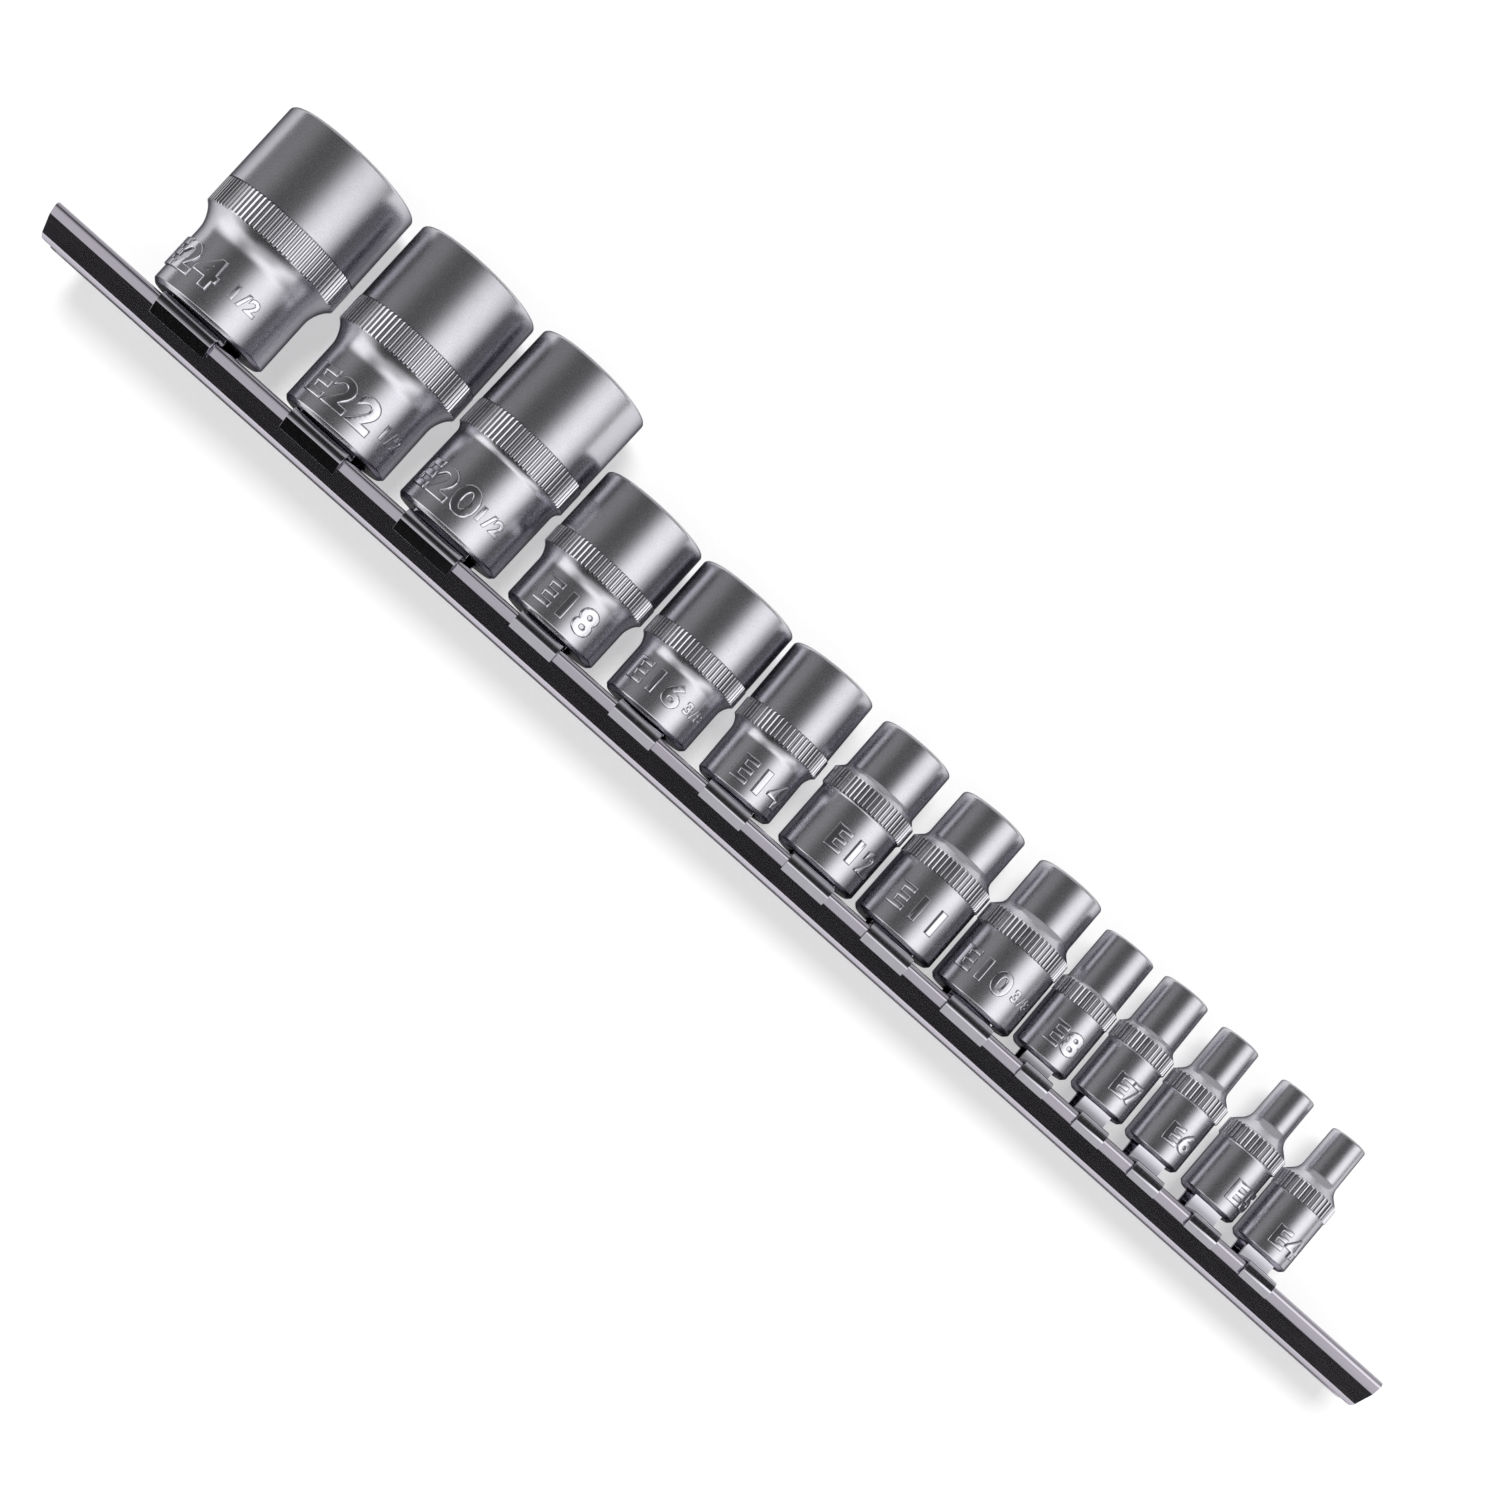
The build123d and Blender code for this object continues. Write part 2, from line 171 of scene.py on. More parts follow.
def chrome(name, light, dark, smooth, rough, mottle_mm, bump_mm, edge, stretch=(1, 1, 1)):
    """Plated steel: tint between light and dark, roughness between smooth and rough."""
    material, tree = empty_material(name)
    place = add_node(tree, "ShaderNodeTexCoord", {}, {})
    stretched = add_node(tree, "ShaderNodeMapping", {}, {
        "Vector": place.outputs["Object"], "Scale": stretch})
    mottle = add_node(tree, "ShaderNodeTexNoise", {}, {
        "Vector": stretched.outputs["Vector"], "Scale": 1 / (mottle_mm * MM),
        "Detail": 3.0, "Roughness": 0.6})
    cloud = add_node(tree, "ShaderNodeTexNoise", {}, {
        "Vector": stretched.outputs["Vector"],
        "Scale": 1 / (clouds_per_mottle * mottle_mm * MM), "Detail": 2.0})
    colour = add_node(tree, "ShaderNodeMix", {"data_type": "RGBA"}, {
        MIX_FACTOR: cloud.outputs["Fac"], MIX_FIRST: tint(light), MIX_SECOND: tint(dark)})
    blur = add_node(tree, "ShaderNodeMapRange", {}, {
        "Value": mottle.outputs["Fac"], "From Min": noise_low, "From Max": noise_high,
        "To Min": smooth, "To Max": rough})
    dents = add_node(tree, "ShaderNodeBump", {}, {
        "Height": mottle.outputs["Fac"], "Strength": 1.0, "Distance": bump_mm * MM})
    # The dark edge tint paints shade: it darkens what is mirrored at a grazing angle.
    shader = add_node(tree, "ShaderNodeBsdfPrincipled", {}, {
        "Base Color": colour.outputs[MIX_RESULT], "Metallic": 1.0,
        "Specular Tint": tint(edge), "Roughness": blur.outputs["Result"],
        "Normal": dents.outputs["Normal"]})
    add_node(tree, "ShaderNodeOutputMaterial", {}, {"Surface": shader.outputs["BSDF"]})
    return material


# %% [markdown]
# ### Chrome of the sockets
#
# Tumbled steel is covered in dents far too small to see one by one, and the
# plating follows them. That blurs what it mirrors into a broad, soft
# highlight, here by a roughness of about a quarter. The real grain is finer
# than the third of a millimetre used here, and is drawn this coarse so that
# it still shows from where the camera stands.
#
# The ridges and the marks stand proud of that skin, so hands and rags have
# polished them: the same plating, about half as rough and a little lighter.

# %% Finishes of the sockets
# Their dark edge tints paint shade into the outlines of the sockets.
satin_chrome = chrome(
    "satin_chrome", light="#D3D2D8", dark="#CAC9CF", smooth=0.24, rough=0.28,
    mottle_mm=0.35, bump_mm=0.0008, edge="#303034")
ridge_chrome = chrome(
    "ridge_chrome", light="#E2E1E6", dark="#D8D7DD", smooth=0.12, rough=0.17,
    mottle_mm=0.4, bump_mm=0.001, edge="#606064")
mark_chrome = chrome(
    "mark_chrome", light="#DEDDE3", dark="#D4D3DA", smooth=0.12, rough=0.17,
    mottle_mm=0.4, bump_mm=0.001, edge="#606064")
print("socket finishes:", satin_chrome.name, ridge_chrome.name, mark_chrome.name)

# %% [markdown]
# ### Chrome of the rail and the clips
#
# Strip comes out of the rolls with fine lines along its length. The same
# noise makes them, drawn out along the strip: along X on the rail, and along
# Y on the clips, whose strip runs up into the loop. The clips are hard spring
# steel, smoother than the rail, so they mirror more sharply.

# %% Finishes of the rail and the clips
# Their edge tints, darker than the strip, paint some shade into its outlines.
rolled_chrome = chrome(
    "rolled_chrome", light="#CFCAD4", dark="#C3BEC9", smooth=0.12, rough=0.16,
    mottle_mm=0.35, bump_mm=0.0001, edge="#707074", stretch=(0.04, 1, 1))
spring_steel = chrome(
    "spring_steel", light="#D2D0D8", dark="#C6C4CC", smooth=0.06, rough=0.10,
    mottle_mm=0.35, bump_mm=0.0001, edge="#707074", stretch=(1, 0.1, 1))
print("strip finishes:", rolled_chrome.name, spring_steel.name)

# %% [markdown]
# ## From a mesh to a piece
#
# Every piece ends the same way, so that is written once. Its mesh goes to its
# place, and its object stays at the origin. It gets smooth shading, with
# every edge kept sharp that turns by more than a given angle, and it rides on
# its body of the frame.

# %% The last step of every piece


def finish_piece(mesh, name, place, body, finish, sharp_from=38):
    """Puts a finished mesh in its place as an object that rides on a body."""
    bmesh.ops.transform(mesh, matrix=place, verts=mesh.verts)
    data = bpy.data.meshes.new(name)
    mesh.to_mesh(data)
    mesh.free()
    data.shade_smooth()
    data.set_sharp_from_angle(angle=radians(sharp_from))
    data.materials.append(finish)
    piece = bpy.data.objects.new(name, data)
    bpy.context.scene.collection.objects.link(piece)
    flats = piece.modifiers.new("flats stay flat", "WEIGHTED_NORMAL")
    flats.keep_sharp = True
    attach(piece, body)
    return piece


# %% [markdown]
# ## The sockets
#
# Three drive sizes share the row, and the inside of a socket follows its
# drive. The names of the three are half, middle and small, for squares of
# 12.7, 9.53 and 6.35 mm. A socket's square is 0.2 mm wider than the ratchet's,
# and its star is 0.2 mm wider than the head of the bolt.

# %% Sizes of the three drives and of the stars, in millimetres
half_count = 3
middle_count = 6
squares = {"half": 12.9, "middle": 9.73, "small": 6.55}
square_depths = {"half": 16.0, "middle": 12.0, "small": 9.0}
star_depths = {"half": 15.0, "middle": 11.0, "small": 10.0}
star_widths = {
    "e24": 22.36, "e22": 20.47, "e20": 18.65, "e18": 16.90, "e16": 14.96,
    "e14": 13.10, "e12": 11.37, "e11": 10.28, "e10": 9.62, "e8": 7.72,
    "e7": 6.36, "e6": 5.94, "e5": 4.93, "e4": 4.06,
}


def drive_of(name):
    """The drive of a socket, by its place in the row."""
    place = sizes.index(name)
    if place < half_count:
        return "half"
    return "middle" if place < half_count + middle_count else "small"


print({name: drive_of(name) for name in sizes})

# %% [markdown]
# ### Outer sizes
#
# The outside differs from socket to socket. Its widths could be listed again
# here, but they are measured on the frame's own solids instead, between two
# heights, so the visible socket is as wide as the solid one. The base is
# measured from just above its chamfer, and the mouth where it is rounded.

# %% Measure the outside of each socket, in millimetres
chamfer_height = 0.5
base_share = 0.3
barrel_share = 0.8
mouth_height = 1.4
crest_slack = 0.01


def rings_of(name):
    """Each point of a socket's solid as its radius and its height."""
    back = socket_place(name).inverted()
    points = [back @ vertex.co for vertex in frame["nodes"]["socket_" + name].data.vertices]
    return [(hypot(point.x, point.y), point.z) for point in points]


def girth(rings, low, high):
    """The largest radius of a solid between two heights."""
    return max(radius for radius, height in rings if low <= height <= high)


def measured(name):
    """Length, the radii at base, band and mouth, and where the band starts and ends."""
    rings = rings_of(name)
    length = max(height for radius, height in rings)
    band = max(radius for radius, height in rings)
    crest = [height for radius, height in rings if radius > band - crest_slack]
    return {
        "length": length,
        "base": girth(rings, chamfer_height, base_share * length),
        "band": band,
        "barrel": girth(rings, barrel_share * length, length),
        "mouth": girth(rings, length - mouth_height, length),
        "low": min(crest),
        "high": max(crest),
        "drive": drive_of(name),
    }


shapes = {name: measured(name) for name in sizes}
for name, shape in shapes.items():
    print(name, {key: round(value, 2) for key, value in shape.items() if key != "drive"})

# %% [markdown]
# ### Outside of a socket
#
# A socket is turned on a lathe, so half of its section, spun round its axis,
# gives its outside. The section starts as a flat face with straight sides.
# Each corner is then bevelled as a vertex, which rounds it as the tool and
# the tumbling do. The curve could be worked out point by point, but a bevel
# needs only how much of each side it takes.
#
# Where the band is wider than the base, a neck leads up to it in a large
# hollow round. Where it is wider than the barrel, a shoulder leads down from
# it. Both are as tall as they are wide, and their rounds are shares of that.

# %% Half a section, with its corners rounded
knurl_depths = {"half": 0.30, "middle": 0.27, "small": 0.24}
mouth_rounds = {"half": 0.6, "middle": 0.6, "small": 0.42}
chamfer = 0.65
chamfer_rounds = (0.10, 0.16)
neck_hollow = 1.38
neck_edge = 0.25
shoulder_edge = 0.15
shoulder_hollow = 0.5


def outside_corners(name):
    """The corners of a socket's outside, from its drive end to its mouth.

    Each is a radius, a height and how much the rounding takes of its sides.
    """
    shape = shapes[name]
    drive = shape["drive"]
    root = shape["band"] - knurl_depths[drive]
    base = shape["base"]
    barrel = shape["barrel"]
    neck = max(root - base, 0)
    shoulder = max(root - barrel, 0)
    return [
        (0, 0, 0),
        (base - chamfer, 0, chamfer_rounds[0]),
        (base, chamfer, chamfer_rounds[1]),
        (base, shape["low"] - neck, neck_hollow * neck),
        (root, shape["low"], neck_edge * neck),
        (root, shape["high"], shoulder_edge * shoulder),
        (barrel, shape["high"] + shoulder, shoulder_hollow * shoulder),
        (shape["mouth"], shape["length"], mouth_rounds[drive]),
        (0, shape["length"], 0),
    ]


def rounded_section(corners):
    """The outer edges of a half section, as a mesh of edges alone."""
    mesh = bmesh.new()
    points = [mesh.verts.new((radius, 0, height)) for radius, height, rounding in corners]
    mesh.faces.new(points)
    for point, (radius, height, rounding) in zip(points, corners):
        if rounding > 0:
            bmesh.ops.bevel(mesh, geom=[point], affect="VERTICES", offset=rounding,
                            segments=5, profile=0.5, material=-1, clamp_overlap=True)
    bmesh.ops.delete(mesh, geom=mesh.faces[:], context="FACES_ONLY")
    return mesh


# %% [markdown]
# ### Outlines of the inside
#
# The star is a ring of six round lobes joined by hollow flanks. Lobe and
# flank are arcs that touch, so the star's outline is known as a radius for
# each direction. So is the drive square's, whose corners are eased because no
# broach cuts them sharp. A radius for each direction is all that the inside
# needs: it lets every ring of it have the same points as the shell.

# %% Outlines of the star and of the square
lobes = 6
lobe_share = 0.09
waist_share = 0.36
corner_ease = 0.02


def star_radius(name, angle):
    """Radius of the star's outline in one direction."""
    width = star_widths[name]
    lobe = lobe_share * width
    waist = waist_share * width
    centre = width / 2 - lobe
    half_step = pi / lobes
    over = lobe**2 - waist**2 - centre**2 + 2 * centre * waist * cos(half_step)
    flank = over / (2 * (waist - centre * cos(half_step) - lobe))
    flank_centre = waist + flank
    share = lobe / (lobe + flank)
    meet_x = centre + share * (flank_centre * cos(half_step) - centre)
    meet_y = share * flank_centre * sin(half_step)
    turn = abs((angle + half_step) % (2 * half_step) - half_step)
    if turn < atan2(meet_y, meet_x):
        return centre * cos(turn) + sqrt(lobe**2 - (centre * sin(turn)) ** 2)
    rest = half_step - turn
    return flank_centre * cos(rest) - sqrt(flank**2 - (flank_centre * sin(rest)) ** 2)


def square_reach(drive):
    """How far a drive square reaches along its diagonals."""
    return squares[drive] / sqrt(2) - corner_ease * squares[drive]


def square_radius(name, angle):
    """Radius of the drive square's outline in one direction."""
    drive = drive_of(name)
    flat = squares[drive] / 2 / max(abs(cos(angle)), abs(sin(angle)))
    return min(flat, square_reach(drive))


print("stars from", star_widths["e4"], "to", star_widths["e24"], "mm wide")

# %% [markdown]
# ### Inside of a socket
#
# The inside could be cut with booleans, which leave ragged faces along a
# curved wall. Here it grows instead from the rim of the mouth, inwards and
# downwards, one ring at a time: a cone that leads the bolt in, the star's
# wall, a ledge, a round bore, and the same for the square from the other end.

# %% The rings of a socket's inside
lead_slope = tan(radians(30))
lead_share = 0.35
bore_share = 0.357


def inside_rings(name):
    """Each ring of the inside, from the mouth to the drive end: angle to radius and height."""
    shape = shapes[name]
    drive = shape["drive"]
    length = shape["length"]
    star_half = star_widths[name] / 2
    square_half = squares[drive] / 2
    opening = star_half + lead_share * (shape["mouth"] - star_half)
    square_mouth = square_half + lead_share * (square_reach(drive) - square_half)
    floor = length - star_depths[drive]
    bore = bore_share * star_widths[name]

    def star_lead(angle):
        radius = star_radius(name, angle)
        return radius, length - (opening - radius) * lead_slope

    def square_lead(angle):
        radius = square_radius(name, angle)
        return radius, max(square_mouth - radius, 0) * lead_slope

    return [
        lambda angle: (opening, length),
        star_lead,
        lambda angle: (star_radius(name, angle), floor),
        lambda angle: (bore, floor),
        lambda angle: (bore, square_depths[drive]),
        lambda angle: (square_radius(name, angle), square_depths[drive]),
        square_lead,
        lambda angle: (max(square_radius(name, angle), square_mouth), 0),
    ]


def grow_ring(mesh, rim, ring):
    """Extrudes a closed rim and moves each new point to the radius and height for its angle."""
    grown = bmesh.ops.extrude_edge_only(mesh, edges=rim)["geom"]
    points = {item for item in grown if isinstance(item, bmesh.types.BMVert)}
    for point in points:
        angle = atan2(point.co.y, point.co.x)
        radius, height = ring(angle)
        point.co = (radius * cos(angle), radius * sin(angle), height)
    return [item for item in grown
            if isinstance(item, bmesh.types.BMEdge) and set(item.verts) <= points]


# %% [markdown]
# ### One socket
#
# The section's flat ends, which reach in to the axis, are dropped, and what
# is left is spun into a shell with two open rims: its mouth and its drive
# end. The inside grows from the mouth, and a bridge joins its last ring to
# the drive end. In 144 steps a turn has enough points for the round outside
# and for the corners of the star, and the steps divide by six and by four,
# so lobes and square corners all come out alike.

# %% Build the bodies of the sockets
spin_steps = 144
hair = 0.001
weld = 0.002


def socket_body(name):
    """The shell spun from the section, closed by the inside."""
    middle = shapes[name]["length"] / 2
    mesh = rounded_section(outside_corners(name))
    inner = [edge for edge in mesh.edges if min(v.co.x for v in edge.verts) < hair]
    bmesh.ops.delete(mesh, geom=inner, context="EDGES")
    loose = [vertex for vertex in mesh.verts if not vertex.link_edges]
    bmesh.ops.delete(mesh, geom=loose, context="VERTS")
    bmesh.ops.spin(mesh, geom=mesh.verts[:] + mesh.edges[:], cent=(0, 0, 0), axis=(0, 0, 1),
                   angle=2 * pi, steps=spin_steps, use_merge=True, use_duplicate=False)
    open_edges = [edge for edge in mesh.edges if edge.is_boundary]
    rim = [edge for edge in open_edges if edge.verts[0].co.z > middle]
    foot = [edge for edge in open_edges if edge.verts[0].co.z < middle]
    for ring in inside_rings(name):
        rim = grow_ring(mesh, rim, ring)
    bmesh.ops.bridge_loops(mesh, edges=rim + foot)
    bmesh.ops.remove_doubles(mesh, verts=mesh.verts, dist=weld)
    bmesh.ops.recalc_face_normals(mesh, faces=mesh.faces)
    return mesh


for name in sizes:
    body = finish_piece(socket_body(name), name + "_body", socket_place(name),
                        "socket_" + name, satin_chrome)
    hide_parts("socket_" + name)
    print(body.name, len(body.data.polygons), "faces")

# %% [markdown]
# ### The knurled band
#
# The band's straight ridges are rolled in with a toothed wheel. A bump in the
# material would leave the band's outline smooth, so they are real shapes. One
# ridge is enough: a trapezium, extruded along the axis, its two ends sloped
# and its crest eased with a bevel. Spinning it as a duplicate sets the whole
# band. There are dozens in a band, so each one has few faces.

# %% Build the ridges of each band
knurl_pitches = {"half": 1.00, "middle": 0.95, "small": 0.95}
foot_of_step = 0.45
top_of_step = 0.17
sunk = 0.06
end_slope = 0.8
crest_round = 0.13
shortest_crest = 0.5


def on_crest(edge, crest):
    """Whether an edge lies on the crest of the ridge."""
    return all(vertex.co.x > crest - hair for vertex in edge.verts)


def rise(edge):
    """How far an edge runs along the axis."""
    return abs(edge.verts[0].co.z - edge.verts[1].co.z)


def knurl(name):
    """All the ridges of one band, each sunk a little into the socket's body."""
    shape = shapes[name]
    drive = shape["drive"]
    crest = shape["band"]
    depth = knurl_depths[drive]
    count = round(2 * pi * crest / knurl_pitches[drive])
    step = 2 * pi * crest / count
    foot = foot_of_step * step
    top = top_of_step * step
    under = crest - depth - sunk
    mesh = bmesh.new()
    corners = [(under, -foot), (under, foot), (crest, top), (crest, -top)]
    face = mesh.faces.new([mesh.verts.new((x, y, shape["low"])) for x, y in corners])
    grown = bmesh.ops.extrude_face_region(mesh, geom=[face])["geom"]
    raised = [item for item in grown if isinstance(item, bmesh.types.BMVert)]
    bmesh.ops.translate(mesh, vec=(0, 0, shape["high"] - shape["low"]), verts=raised)
    bmesh.ops.recalc_face_normals(mesh, faces=mesh.faces)
    ends = [edge for edge in mesh.edges if on_crest(edge, crest) and rise(edge) < hair]
    bmesh.ops.bevel(mesh, geom=ends, affect="EDGES", offset=end_slope * depth, segments=1,
                    profile=0.5, material=-1)
    crests = [edge for edge in mesh.edges if on_crest(edge, crest) and rise(edge) > shortest_crest]
    bmesh.ops.bevel(mesh, geom=crests, affect="EDGES", offset=crest_round, segments=2,
                    profile=0.5, material=-1)
    bmesh.ops.spin(mesh, geom=mesh.verts[:] + mesh.edges[:] + mesh.faces[:], cent=(0, 0, 0),
                   axis=(0, 0, 1), angle=2 * pi * (count - 1) / count, steps=count - 1,
                   use_merge=False, use_duplicate=True)
    return mesh, count


for name in sizes:
    ridges, count = knurl(name)
    finish_piece(ridges, name + "_knurl", socket_place(name), "socket_" + name,
                 ridge_chrome, sharp_from=20)
    print(name, "has", count, "ridges")

# %% [markdown]
# ### The size marks
#
# Each base carries its size in raised letters, and some a smaller mark of the
# drive in inches. They are forged into the real socket, so they are raised
# here too, with rounded edges that catch the light. A flat word becomes a
# mesh, is cut into narrow upright strips so that it can bend, and is then
# wrapped round the base. A modifier could bend it as well, but would have to
# be set for each base. Here a point's place along the word becomes an angle.

# %% Words and where they stand: degrees from straight up, middle height, letter height
big_marks = {
    "e24": (-33, 6.5, 6.2), "e22": (-4, 6.0, 6.2), "e20": (-22, 6.0, 6.2),
    "e18": (4, 4.9, 5.3), "e16": (-14, 5.7, 4.9), "e14": (18, 4.7, 4.9),
    "e12": (22, 6.3, 4.7), "e11": (-7, 6.3, 4.9), "e10": (-22, 6.0, 4.7),
    "e8": (0, 5.4, 4.6), "e7": (18, 5.2, 4.2), "e6": (12, 5.1, 4.0),
    "e5": (32, 4.7, 4.2), "e4": (12, 4.4, 4.0),
}
small_marks = {
    "e24": (30, 6.6, 3.0, "1/2"), "e22": (58, 6.0, 3.0, "1/2"), "e20": (32, 6.2, 3.0, "1/2"),
    "e16": (44, 5.7, 2.4, "3/8"), "e10": (38, 6.0, 2.4, "3/8"),
}
print(len(big_marks), "size marks and", len(small_marks), "drive marks")

# %% [markdown]
# A text object starts at a size of one unit. Its offset makes the strokes
# heavier, its extrusion gives them depth and its bevel rounds their edges, all
# in shares of that unit. The letters stand a little further apart than usual.
# The word is then stretched to its real height, and a little more in width.

# %% Wrap a word round a base
stroke_weld = 0.0005


def flat_word(word):
    """A word as a flat mesh in the plane of X and Y, with rounded edges."""
    curve = bpy.data.curves.new("word", "FONT")
    curve.body = word
    curve.extrude = 0.02
    curve.bevel_depth = 0.034
    curve.bevel_resolution = 2
    curve.resolution_u = 4
    curve.offset = 0.018
    curve.space_character = 1.12
    carrier = bpy.data.objects.new("word", curve)
    flat = bpy.data.meshes.new_from_object(carrier)
    bpy.data.objects.remove(carrier)
    mesh = bmesh.new()
    mesh.from_mesh(flat)
    bpy.data.meshes.remove(flat)
    bmesh.ops.remove_doubles(mesh, verts=mesh.verts, dist=stroke_weld)
    return mesh


def wrapped_word(word, radius, angle, middle, height, raised, widened=1.15, strip=0.5):
    """A raised word wrapped round a base of the given radius, upright towards the mouth."""
    mesh = flat_word(word)
    low = Vector([min(v.co[axis] for v in mesh.verts) for axis in range(3)])
    high = Vector([max(v.co[axis] for v in mesh.verts) for axis in range(3)])
    scale = height / (high.y - low.y)
    wide = widened * scale
    bmesh.ops.translate(mesh, vec=-(low + high) / 2, verts=mesh.verts)
    bmesh.ops.scale(mesh, vec=(wide, scale, 2 * raised / (high.z - low.z)), verts=mesh.verts)
    reach = (high.x - low.x) / 2 * wide
    cuts = int(2 * reach / strip)
    for cut in range(1, cuts):
        bmesh.ops.bisect_plane(mesh, geom=mesh.verts[:] + mesh.edges[:] + mesh.faces[:],
                               plane_co=(-reach + 2 * reach * cut / cuts, 0, 0),
                               plane_no=(1, 0, 0))
    for vertex in mesh.verts:
        turn = radians(angle - 90) + vertex.co.x / radius
        out = radius + vertex.co.z
        vertex.co = (out * cos(turn), out * sin(turn), middle + vertex.co.y)
    return mesh


def add_mark(name, kind, word, angle, middle, height, raised):
    """One mark on the base of a socket, as a piece that rides with it."""
    mesh = wrapped_word(word, shapes[name]["base"], angle, middle, height, raised)
    finish_piece(mesh, name + kind, socket_place(name), "socket_" + name,
                 mark_chrome, sharp_from=50)


for name in sizes:
    add_mark(name, "_size_mark", name.upper(), *big_marks[name], raised=0.38)
    if name in small_marks:
        angle, middle, height, word = small_marks[name]
        add_mark(name, "_drive_mark", word, angle, middle, height, raised=0.2)
print("marks wrapped round", len(sizes), "bases")

# %% [markdown]
# ## Rail and clips
#
# Both are strip that has been bent, so both are made as strip is. A line of
# corners is drawn out sideways into a sheet, each bend is rounded by a bevel
# with its own radius, and the sheet is given its thickness. A curve with a
# section would do for one radius, but here the bends differ. A last bevel
# eases the cut edges, which is where a real strip shines.

# %% Bend a strip
cut_edge_angle = radians(60)


def bent_strip(corners, width, thickness, eased):
    """A strip through corners (across, up, bend radius), its outer face on that line."""
    mesh = bmesh.new()
    line = [mesh.verts.new((-width / 2, up, across)) for across, up, radius in corners]
    edges = [mesh.edges.new(pair) for pair in zip(line, line[1:])]
    grown = bmesh.ops.extrude_edge_only(mesh, edges=edges)["geom"]
    far = [item for item in grown if isinstance(item, bmesh.types.BMVert)]
    bmesh.ops.translate(mesh, vec=(width, 0, 0), verts=far)
    topmost = max(mesh.faces, key=lambda face: face.calc_center_median().y)
    mesh.normal_update()
    if topmost.normal.y < 0:
        bmesh.ops.reverse_faces(mesh, faces=mesh.faces)
    mesh.normal_update()
    bends = []
    for vertex, (across, up, radius) in zip(line, corners):
        if radius > 0:
            fold = [edge for edge in vertex.link_edges if len(edge.link_faces) == 2][0]
            bends.append((fold, radius * tan(fold.calc_face_angle() / 2)))
    for fold, offset in bends:
        bmesh.ops.bevel(mesh, geom=[fold], affect="EDGES", offset=offset, segments=6,
                        profile=0.5, material=-1)
    bmesh.ops.solidify(mesh, geom=mesh.faces[:], thickness=thickness)
    bmesh.ops.recalc_face_normals(mesh, faces=mesh.faces)
    cut = [edge for edge in mesh.edges if len(edge.link_faces) == 2
           and edge.calc_face_angle() > cut_edge_angle]
    bmesh.ops.bevel(mesh, geom=cut, affect="EDGES", offset=eased, segments=2,
                    profile=0.5, material=-1, clamp_overlap=True)
    return mesh


def mirrored(half):
    """A line of corners and its mirror image, from one tip to the other."""
    return half + [(-across, up, radius) for across, up, radius in reversed(half)]


# %% [markdown]
# ### The rail
#
# The rail is a shallow channel, open along its back in a narrow slot. Its
# flat top carries the clips, and its rolled flanks are what their ears grip.
# The line below goes from the slot's lip over the lower corner and the flank
# to the edge of the top. The rail's length is worked out from its box in the
# frame, which the slope makes a little longer than a level rail's.

# %% Build the rail
rail_thickness = 0.7
rail_half_width = 7.864
rail_low, rail_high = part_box("rail")
rail_middle = (rail_low + rail_high) / 2
box_length = (rail_high.x - rail_low.x) / MM
rail_length = (box_length - 2 * rail_half_width * sin(slope)) / cos(slope)
rail_line = mirrored([
    (1.4, -6.2, 0), (3.3, -6.2, 0.8), (4.4, -5.65, 1.2), (7.24, -2.5, 0.8), (8.25, 0, 0.8)])
rail_origin = Vector((rail_middle.x, rail_top, rail_middle.z))
rail = finish_piece(bent_strip(rail_line, rail_length, rail_thickness, eased=0.07),
                    "rail_strip", placed(rail_origin, along_row, towards_mouths),
                    "rail", rolled_chrome)
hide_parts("rail")
print("rail length in mm:", round(rail_length, 2))

# %% [markdown]
# ### The clips
#
# A clip is one strip of spring steel. From one ear it folds over the rail's
# flank, runs in along the top, turns up into a hairpin loop that stands in
# the socket's square, and comes down the same way on the other side. There
# are three sizes of clip, one for each drive, and a little play everywhere:
# over the rail's top, at its flanks, and between the loop and the square.

# %% Sizes of the clips, in millimetres and degrees
clip_thicknesses = {"half": 0.80, "middle": 0.60, "small": 0.50}
clip_widths = {"half": 12.0, "middle": 9.13, "small": 5.95}
ear_drops = {"half": 3.7, "middle": 3.0, "small": 2.7}
ear_slants = {"half": 30, "middle": 22, "small": 22}
neck_heights = {"half": 0.10, "middle": 0.10, "small": 1.55}
loop_heights = {"half": 9.8, "middle": 7.0, "small": 4.6}
loop_waists = {"half": 5.2, "middle": 3.9, "small": 2.55}
loop_crowns = {"half": 4.2, "middle": 3.0, "small": 1.9}
top_play = 0.12
flank_play = 0.20
square_play = 0.25
fold_drop = 1.3
fold_tuck = 0.25
foot_bend = 0.02
bulge_share = 0.45
print("clips from", clip_widths["small"], "to", clip_widths["half"], "mm wide")

# %% [markdown]
# Half of a clip's line is enough, since its other half is the mirror image.
# It starts at the tip of an ear and ends at the crown of the loop. Hard
# spring strip can't be bent tightly without cracking, so the radii are 1.6
# times its thickness at the folds and 2.2 times in the loop. Only at the foot
# of the loop is the bend a sharp one.

# %% Build the clips
fold_radius = 1.6
loop_radius = 2.2


def clip_line(drive):
    """The outer line of a clip, from the tip of one ear over its loop to the other tip."""
    thick = clip_thicknesses[drive]
    drop = ear_drops[drive]
    height = loop_heights[drive]
    side = rail_half_width + flank_play + thick
    tip = side - (drop - fold_drop) * tan(radians(ear_slants[drive]))
    flange = top_play + thick
    seat = flange + neck_heights[drive]
    bulge = squares[drive] / 2 - square_play
    return mirrored([
        (tip, -drop, 0),
        (side, -fold_drop, fold_radius * thick),
        (side - fold_tuck, flange, fold_radius * thick),
        (loop_waists[drive], flange, foot_bend),
        (loop_waists[drive], seat, 0),
        (bulge, seat + bulge_share * height, loop_radius * thick),
        (loop_crowns[drive], seat + height, loop_radius * thick),
    ])


